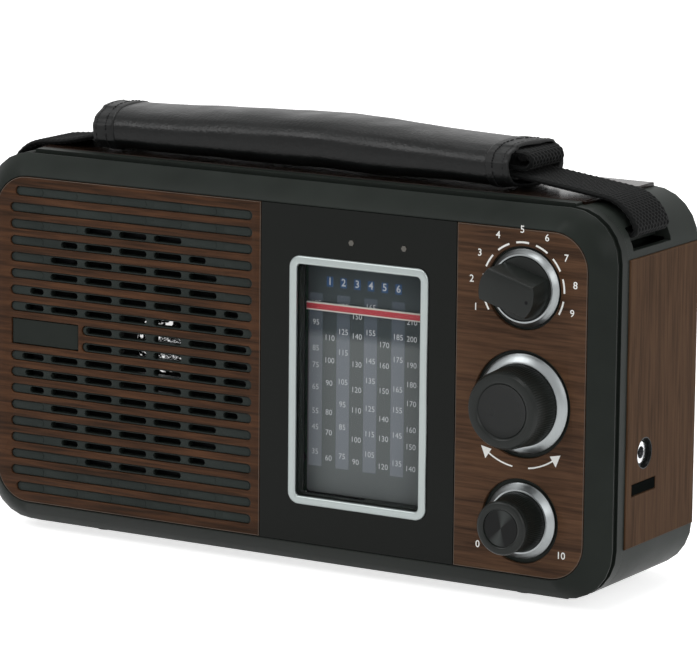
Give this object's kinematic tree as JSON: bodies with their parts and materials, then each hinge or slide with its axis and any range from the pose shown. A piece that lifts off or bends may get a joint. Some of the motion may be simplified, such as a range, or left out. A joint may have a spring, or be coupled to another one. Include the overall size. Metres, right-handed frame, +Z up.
{
  "type": "tabletop radio",
  "caption": "Portable tabletop radio with a speaker grille, a tall dial window with a sliding pointer, rotary controls, a padded carry strap and a folding telescopic aerial.",
  "frame": {"origin": "on the surface the radio stands on, under the middle of its whole width and depth", "axes": "+X to the right seen from the front, +Y from the front towards the back, +Z up"},
  "size_m": [0.215, 0.0746, 0.13],
  "materials": {
    "cabinet": "fine moulded texture, dark charcoal",
    "wood_trim": "wood-grain film under a clear satin coat",
    "badge": "plain moulded plate",
    "gloss_panel": "piano black",
    "silver_trim": "satin silver",
    "dial_window": "clear acrylic",
    "dial_print": "printed scale plate",
    "lamp": "clear lamp lens",
    "pointer_red": "red with bright edges",
    "steel": "turned steel",
    "drive_plastic": "natural acetal",
    "cord": "braided dial cord",
    "component": "moulded component body",
    "control_body": "plated control can",
    "knob": "black with a ribbed grip",
    "bright_ring": "bright plated",
    "foot_rubber": "soft black rubber",
    "webbing": "coarse woven black webbing",
    "grip_leather": "stitched leatherette over foam",
    "speaker_metal": "pressed steel",
    "ferrite": "sintered ferrite",
    "paper_cone": "black paper",
    "bright_cap": "spun aluminium",
    "circuit_board": "green laminate",
    "core": "varnished laminations",
    "inlet_plastic": "moulded black",
    "socket_metal": "plated",
    "button_plastic": "moulded black",
    "screw_steel": "zinc plated",
    "cell_can": "printed cell jacket",
    "aerial_metal": "bright plated"
  },
  "bodies": {
    "case": {"front_cabinet": "cabinet", "rear_cabinet": "cabinet", "grille_trim": "wood_trim", "control_trim": "wood_trim", "badge_plate": "badge", "dial_panel": "gloss_panel", "dial_frame": "silver_trim", "dial_lens": "dial_window", "dial_scale": "dial_print", "indicator_lamps": "lamp", "guide_rod": "steel", "dial_cord": "cord", "tuning_capacitor": "component", "band_switch": "control_body", "volume_control": "control_body", "side_panel_right": "wood_trim", "side_panel_left": "wood_trim", "top_panel": "gloss_panel", "feet": "foot_rubber", "handle_strap": "webbing", "speaker_frame": "speaker_metal", "speaker_magnet": "ferrite", "speaker_cone": "paper_cone", "dust_cap": "bright_cap", "main_board": "circuit_board", "ferrite_rod": "component", "transformer": "core", "mains_inlet": "inlet_plastic", "headphone_jack": "socket_metal", "media_board": "circuit_board", "usb_socket": "socket_metal", "card_socket": "socket_metal", "case_screws": "screw_steel", "inner_screws": "screw_steel", "battery_cells": "cell_can", "battery_contacts": "steel"},
    "function_dial": {"function_knob": "knob", "function_ring": "bright_ring", "function_shaft": "steel"},
    "tuning_dial": {"tuning_knob": "knob", "tuning_ring": "bright_ring", "tuning_spindle": "steel"},
    "volume_dial": {"volume_knob": "knob", "volume_ring": "bright_ring", "volume_shaft": "steel"},
    "capacitor_drum": {"drive_drum": "drive_plastic"},
    "top_wheel": {"upper_pulley": "drive_plastic"},
    "bottom_wheel": {"lower_pulley": "drive_plastic"},
    "scale_pointer": {"dial_pointer": "pointer_red"},
    "door": {"battery_door": "cabinet"},
    "back_key": {"back_button": "button_plastic"},
    "play_key": {"play_button": "button_plastic"},
    "forward_key": {"forward_button": "button_plastic"},
    "mode_key": {"mode_button": "button_plastic"},
    "grip": {"handle_grip": "grip_leather"},
    "aerial_foot": {"aerial_base": "aerial_metal"},
    "aerial_rod": {"aerial_tube": "aerial_metal"},
    "aerial_second": {"aerial_middle": "aerial_metal"},
    "aerial_third": {"aerial_inner": "aerial_metal"},
    "aerial_end": {"aerial_tip": "aerial_metal"}
  },
  "joints": [
    {"name": "function_turn", "type": "hinge", "parent": "case", "child": "function_dial", "pos_m": [0.0802, -0.02545, 0.0917], "axis": [0, 1, 0], "range_deg": [-224, 0]},
    {"name": "tuning_turn", "type": "hinge", "parent": "case", "child": "tuning_dial", "pos_m": [0.0802, -0.02545, 0.0586], "axis": [0, 1, 0], "range_deg": [-970.2, 137.5]},
    {"name": "pointer_slide", "type": "slide", "parent": "case", "child": "scale_pointer", "axis": [0, 0, 1], "range_m": [-0.0508, 0.0072]},
    {"name": "drum_turn", "type": "hinge", "parent": "case", "child": "capacitor_drum", "pos_m": [0.0275, -0.02545, 0.03136], "axis": [0, 1, 0], "range_deg": [-157.7, 22.4]},
    {"name": "top_wheel_turn", "type": "hinge", "parent": "case", "child": "top_wheel", "pos_m": [0.0021, -0.02545, 0.1], "axis": [0, 1, 0], "range_deg": [-710, 100.7]},
    {"name": "bottom_wheel_turn", "type": "hinge", "parent": "case", "child": "bottom_wheel", "pos_m": [0.0021, -0.02545, 0.017], "axis": [0, 1, 0], "range_deg": [-710, 100.7]},
    {"name": "volume_turn", "type": "hinge", "parent": "case", "child": "volume_dial", "pos_m": [0.0802, -0.02545, 0.025], "axis": [0, 1, 0], "range_deg": [0, 300]},
    {"name": "door_open", "type": "hinge", "parent": "case", "child": "door", "pos_m": [0.0005, 0.03635, 0.0136], "axis": [-1, 0, 0], "range_deg": [0, 90]},
    {"name": "back_press", "type": "slide", "parent": "case", "child": "back_key", "axis": [1, 0, 0], "range_m": [0, 0.0006], "stiffness_N_per_m": 400, "springref_m": -0.001},
    {"name": "play_press", "type": "slide", "parent": "case", "child": "play_key", "axis": [1, 0, 0], "range_m": [0, 0.0006], "stiffness_N_per_m": 400, "springref_m": -0.001},
    {"name": "forward_press", "type": "slide", "parent": "case", "child": "forward_key", "axis": [1, 0, 0], "range_m": [0, 0.0006], "stiffness_N_per_m": 400, "springref_m": -0.001},
    {"name": "mode_press", "type": "slide", "parent": "case", "child": "mode_key", "axis": [1, 0, 0], "range_m": [0, 0.0006], "stiffness_N_per_m": 400, "springref_m": -0.001},
    {"name": "handle_lift", "type": "slide", "parent": "case", "child": "grip", "axis": [0, 0, 1], "range_m": [0, 0.005], "deforming": ["handle_strap"]},
    {"name": "aerial_swivel", "type": "hinge", "parent": "case", "child": "aerial_foot", "pos_m": [0.0865, 0.03355, 0.11], "axis": [0, 0, 1], "range_deg": [-180, 0]},
    {"name": "aerial_tilt", "type": "hinge", "parent": "aerial_foot", "child": "aerial_rod", "pos_m": [0.0865, 0.03355, 0.11], "axis": [0, 1, 0], "range_deg": [0, 90]},
    {"name": "second_section_slide", "type": "slide", "parent": "aerial_rod", "child": "aerial_second", "axis": [-1, 0, 0], "range_m": [0, 0.144]},
    {"name": "third_section_slide", "type": "slide", "parent": "aerial_second", "child": "aerial_third", "axis": [-1, 0, 0], "range_m": [0, 0.144]},
    {"name": "end_section_slide", "type": "slide", "parent": "aerial_third", "child": "aerial_end", "axis": [-1, 0, 0], "range_m": [0, 0.144]}
  ],
  "couplings": [
    {"joint": "pointer_slide", "follows": "tuning_turn", "m_per_rad": 0.003},
    {"joint": "drum_turn", "follows": "tuning_turn", "ratio": 0.1625},
    {"joint": "top_wheel_turn", "follows": "tuning_turn", "ratio": 0.73171},
    {"joint": "bottom_wheel_turn", "follows": "tuning_turn", "ratio": 0.73171}
  ]
}
